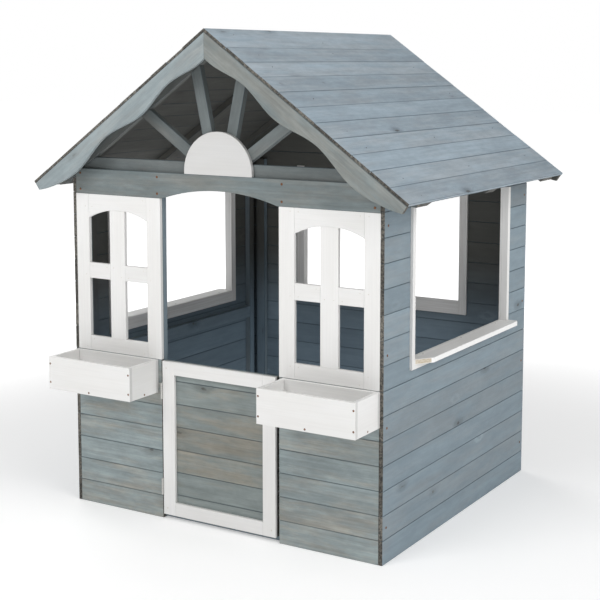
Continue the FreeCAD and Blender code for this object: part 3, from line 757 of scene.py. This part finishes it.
def fastener_tree():
    """Points with a turn and a size become fasteners."""
    tree = bpy.data.node_groups.new("fasteners_on_points", "GeometryNodeTree")
    for name, kind in (("Geometry", "Geometry"), ("Head", "Object"), ("Radius", "Float"),
                       ("Seed", "Int"), ("Finish", "Material")):
        tree.interface.new_socket(name=name, in_out="INPUT", socket_type="NodeSocket" + kind)
    tree.interface.new_socket(name="Geometry", in_out="OUTPUT", socket_type="NodeSocketGeometry")
    given = tree.nodes.new("NodeGroupInput")
    spin = add(tree, "FunctionNodeRandomValue", {"Min": 0.0, "Max": math.tau, "Seed": out(given, "Seed")},
               data_type="FLOAT")
    turn = out(add(tree, "GeometryNodeInputNamedAttribute", {"Name": "turn"}, data_type="FLOAT_VECTOR"),
               "Attribute")
    aim = add(tree, "FunctionNodeEulerToRotation", {"Euler": turn})
    driven = add(tree, "FunctionNodeRotateRotation",
                 {"Rotation": aim, "Rotate By": add(tree, "FunctionNodeEulerToRotation", {
                     "Euler": add(tree, "ShaderNodeCombineXYZ", {"Z": spin})})}, rotation_space="LOCAL")
    shape = add(tree, "GeometryNodeObjectInfo", {"Object": out(given, "Head")})
    size = add(tree, "ShaderNodeCombineXYZ", {axis: out(given, "Radius") for axis in "XYZ"})
    placed = add(tree, "GeometryNodeInstanceOnPoints",
                 {"Points": out(given, "Geometry"), "Instance": out(shape, "Geometry"),
                  "Rotation": driven, "Scale": size})
    real = add(tree, "GeometryNodeRealizeInstances", {"Geometry": placed})
    finished = add(tree, "GeometryNodeSetMaterial", {"Geometry": real, "Material": out(given, "Finish")})
    add(tree, "NodeGroupOutput", {"Geometry": finished})
    return tree


def screw_place(points):
    """(middle of the head, outward direction) of one screw of the design."""
    size = [max(p[i] for p in points) - min(p[i] for p in points) for i in range(3)]
    axis = size.index(max(size))
    others = [i for i in range(3) if i != axis]
    widest = max(points, key=lambda p: (p - sum(points, Vector()) / len(points))[others[0]])
    outward = Vector((0, 0, 0))
    low, high = min(p[axis] for p in points), max(p[axis] for p in points)
    outward[axis] = 1.0 if abs(widest[axis] - high) < abs(widest[axis] - low) else -1.0
    head = Vector([(max(p[i] for p in points) + min(p[i] for p in points)) / 2 for i in range(3)])
    head[axis] = high if outward[axis] > 0 else low
    return head, outward


head_blank = screw_head()
fasteners_on_points = fastener_tree()


def heads(name, places, shape, radius, finish, seed):
    """Fastener heads at (place, outward direction)."""
    return grown(name, [place for place, _ in places],
                 {"turn": [outward.to_track_quat("Z", "Y").to_euler() for _, outward in places]},
                 fasteners_on_points, {"Head": shape, "Radius": radius, "Seed": seed, "Finish": finish})


STEEL = "screw_steel"


def screws(name, node, radius, sink, body="house", seed=5, finish=screw_finish):
    """The heads of every screw of a design node; sink is how far they sit under the design's face."""
    places = [screw_place(points) for points, _ in solids(node)]
    piece = heads(name, [(head - outward * sink, outward) for head, outward in places], head_blank,
                  radius, finish, seed)
    settle(piece, body, STEEL, node)


screws("wall_screw_heads", "wall_screws", 0.0038, 0.0005)
screws("planter_screw_heads", "planter_screws", 0.0034, 0.0004, seed=6)
screws("door_screw_heads", "door_screws", 0.0024, 0.0006, "door", seed=7, finish=filler)

# %% [markdown]
# ## Nails and filled holes
# The roof planks are nailed to the three battens, and the white frames were nailed at every joint and
# the holes filled before painting.  Both are flat round heads of a millimetre or two, so the same
# tree sets them.  A hammer never strikes twice in one line: each nail is moved a little, and some
# sank so deep that they don't show.

# %% Nail places
def flat_head():
    """A low round head, its rim at the origin, facing +Z."""
    shape = bmesh.new()
    bmesh.ops.create_cone(shape, segments=10, radius1=1.0, radius2=0.8, depth=0.4, cap_ends=True)
    mesh = bpy.data.meshes.new("flat_head")
    shape.to_mesh(mesh)
    shape.free()
    piece = bpy.data.objects.new("flat_head", mesh)
    scene.collection.objects.link(piece)
    return piece


WANDER = 0.018                    # metres a nail may stray along the plank
NAILS_SEEN = 0.6                  # share of the roof nails that still show
LONG_RAIL = 0.06                  # frame members longer than this are rails
RAIL_DEPTH = 0.05
flat_blank = flat_head()
battens = sorted({round(sum(p.y for p in points) / len(points), 4) for points, _ in solids("roof_battens")})
hammer = random.Random(8)


def roof_nails(node):
    """(place, outward direction) of the nails of one slope that still show."""
    places = []
    for points, _ in solids(node):
        centre, half, turn = axes_of(points)
        along, across, outward = turn.col
        for y in battens:
            offset = along * ((y - centre.y) / along.y + hammer.uniform(-WANDER, WANDER))
            offset += across * hammer.uniform(-0.4, 0.4) * half.y
            if hammer.random() < NAILS_SEEN:
                places.append((centre + offset + outward * half.z, outward.copy()))
    return places


def frame_nails(node):
    """Two nails at each end of the rails of a white front frame, one on each side of the joint."""
    places = []
    for points, _ in solids(node):
        low = Vector([min(p[i] for p in points) for i in range(3)])
        high = Vector([max(p[i] for p in points) for i in range(3)])
        if high.x - low.x > LONG_RAIL:
            foot = max(low.z, high.z - RAIL_DEPTH)
            rise = (high.z - foot) * 0.28
            for x in (low.x - 0.014, low.x + 0.013, high.x - 0.013, high.x + 0.014):
                z = (high.z + foot) / 2 + hammer.choice((-1, 1)) * rise
                places.append((Vector((x, low.y, z)), Vector((0, -1, 0))))
    return places


# %% Set the nails
nails = roof_nails("right_roof_planks") + roof_nails("left_roof_planks")
for node in ("right_counter_shelf", "left_counter_shelf"):
    low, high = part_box(node)
    inner_x = min(low[0], high[0], key=abs)
    for y in (-0.265, 0.0, 0.265):
        place = Vector((inner_x + math.copysign(0.007, inner_x), (low[1] + high[1]) / 2 + y, high[2]))
        nails.append((place, Vector((0, 0, 1))))
nail_piece = heads("visible_nails", nails, flat_blank, 0.0018, nail_finish, 9)
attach(nail_piece, "house")
print(len(nails), "nails show")

filled = [place for side in ("right", "left") for part in ("_window_head", "_window_bars")
          for place in frame_nails(side + part)]
filling_piece = heads("filled_nail_holes", filled, flat_blank, 0.0017, filler, 10)
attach(filling_piece, "house")
print(len(filled), "filled holes")

# %% [markdown]
# ## Hinges and catch
# Two butt hinges of thin zinc plate carry the half door, and a small black catch holds it shut.  They
# are square stampings and mouldings that the design draws to the last edge, so remaking them would
# add nothing: each keeps the design's own shape and only takes a finish.

# %% Finish the hinges and the catch
for node, finish in (("door_hinge_leaves", hinge_finish), ("post_hinge_leaves", hinge_finish),
                     ("hinge_pins", hinge_finish), ("catch_strike", hinge_finish),
                     ("door_catch", catch_finish)):
    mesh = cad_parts[node].data
    mesh.materials.clear()
    mesh.materials.append(finish)
    print(node, "keeps its shape and takes", finish.name)

# %% [markdown]
# ## Floor, light and camera
# A plain pale floor that glows more the farther it lies, so that it melts into a white backdrop with
# no horizon line.  Two large soft boxes, high at the front and high at the right, a weak one
# overhead and one from the back left that brightens the reveals of the side windows: every face
# reads and no shadow is hard.  The backdrop is white to the eye but lights the house only a little,
# so the inside stays as dark as a real roofed room.

# %% Floor
REACH = 30                        # metres of floor on each side of the house
floor_mesh = bpy.data.meshes.new("floor")
floor_mesh.from_pydata([(-REACH, -REACH, 0), (REACH, -REACH, 0), (REACH, REACH, 0), (-REACH, REACH, 0)],
                       [], [(0, 1, 2, 3)])
floor = bpy.data.objects.new("floor", floor_mesh)
scene.collection.objects.link(floor)
floor_finish, floor_tree, floor_shader = new_finish("pale_floor")
distance = vectors(floor_tree, "LENGTH", out(add(floor_tree, "ShaderNodeTexCoord"), "Object"))
glow = remap(floor_tree, socket(distance.outputs, "Value"), 1.2, 3.4, 0.28, 0.85)
floor_tree.links.new(glow, floor_shader.inputs["Emission Strength"])
floor_shader.inputs["Emission Color"].default_value = (1, 1, 1, 1)
floor_shader.inputs["Base Color"].default_value = (0.82, 0.82, 0.82, 1)
floor_shader.inputs["Roughness"].default_value = 0.9
floor_mesh.materials.append(floor_finish)
print("floor", 2 * REACH, "m wide")

# %% Studio light
MIDDLE_OF_HOUSE = Vector((0, 0, 0.7))
world = bpy.data.worlds.new("studio")
world.use_nodes = True
world_tree = world.node_tree
seen = out(add(world_tree, "ShaderNodeLightPath"), "Is Camera Ray")
strength = add(world_tree, "ShaderNodeMapRange", {"Value": seen, "To Min": 0.22, "To Max": 1.0})
world_tree.nodes["Background"].inputs["Color"].default_value = (1.0, 1.0, 1.0, 1)
world_tree.links.new(out(strength, "Result"), world_tree.nodes["Background"].inputs["Strength"])
scene.world = world
scene.view_settings.view_transform = "Standard"


def soft_light(name, place, size, power):
    """A square soft box aimed at the middle of the house."""
    lamp = bpy.data.lights.new(name, "AREA")
    lamp.shape = "SQUARE"
    lamp.size = size
    lamp.energy = power
    holder = bpy.data.objects.new(name, lamp)
    holder.location = place
    holder.rotation_euler = (MIDDLE_OF_HOUSE - Vector(place)).to_track_quat("-Z", "Y").to_euler()
    holder.visible_camera = False
    scene.collection.objects.link(holder)
    print(name, power, "W")


soft_light("front_soft_box", (-1.4, -5.0, 3.9), 3.2, 141)
soft_light("right_soft_box", (4.5, -1.6, 3.8), 3.2, 150)
soft_light("top_soft_box", (0.6, -0.3, 5.2), 3.0, 34)
soft_light("back_soft_box", (-4.6, 3.0, 3.4), 3.2, 90)

# %% Camera
camera = bpy.data.cameras.new("camera")
camera.lens = 79.36
camera.shift_y = -0.14
camera_holder = bpy.data.objects.new("camera", camera)
camera_holder.location = (2.2039, -3.6169, 1.4015)
camera_holder.rotation_euler = (math.pi / 2 - 0.1172, 0.0, 0.5483)
scene.collection.objects.link(camera_holder)
scene.camera = camera_holder
print("camera", tuple(round(c, 3) for c in camera_holder.location))

# %% Clear the blanks
for spare in (board_blank, plank_blank, head_blank, flat_blank):
    bpy.data.objects.remove(spare)
